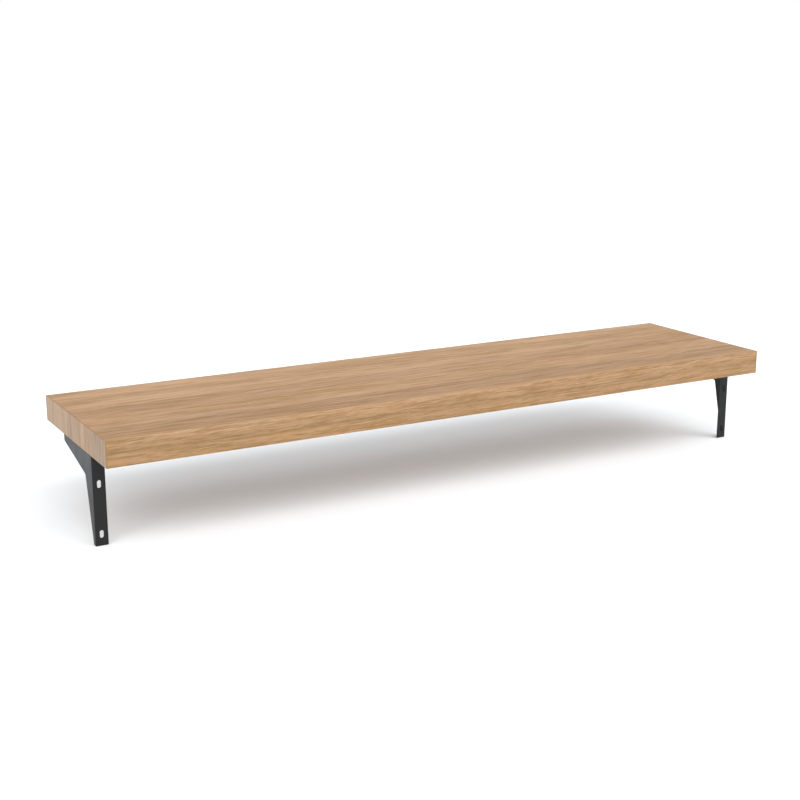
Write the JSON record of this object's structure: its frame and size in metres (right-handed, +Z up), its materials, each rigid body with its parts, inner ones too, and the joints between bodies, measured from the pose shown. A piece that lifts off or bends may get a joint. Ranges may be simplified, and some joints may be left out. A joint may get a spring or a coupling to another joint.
{
  "type": "wall shelf with brackets",
  "caption": "Thick rectangular wood-faced shelf board carried at each end by a folded black steel angle bracket with slotted flanges.",
  "frame": {"origin": "midway along the shelf, on the plane of the wall flanges' outer faces, level with the underside of the board", "axes": "+X along the shelf, +Y away from the wall, +Z up"},
  "size_m": [1.2, 0.3, 0.177],
  "materials": {
    "oak_face": "wood-grain decor, satin",
    "oak_long_band": "lengthwise grain, satin",
    "oak_end_band": "upright grain, satin",
    "rail_wood": "sawn softwood",
    "kraft_paper": "unbleached kraft paper honeycomb",
    "black_steel": "satin black powder coat",
    "zinc_steel": "bright zinc plate"
  },
  "bodies": {
    "root": {"top_skin": "oak_face", "bottom_skin": "oak_face", "front_rail": "rail_wood", "rear_rail": "rail_wood", "centre_rail": "rail_wood", "front_edge_band": "oak_long_band", "rear_edge_band": "oak_long_band", "left_end_rail": "rail_wood", "right_end_rail": "rail_wood", "left_honeycomb_core": "kraft_paper", "right_honeycomb_core": "kraft_paper", "left_end_edge_band": "oak_end_band", "right_end_edge_band": "oak_end_band", "left_bracket": "black_steel", "right_bracket": "black_steel", "left_inner_screw": "zinc_steel", "right_inner_screw": "zinc_steel", "left_outer_screw": "zinc_steel", "right_outer_screw": "zinc_steel"}
  },
  "joints": []
}
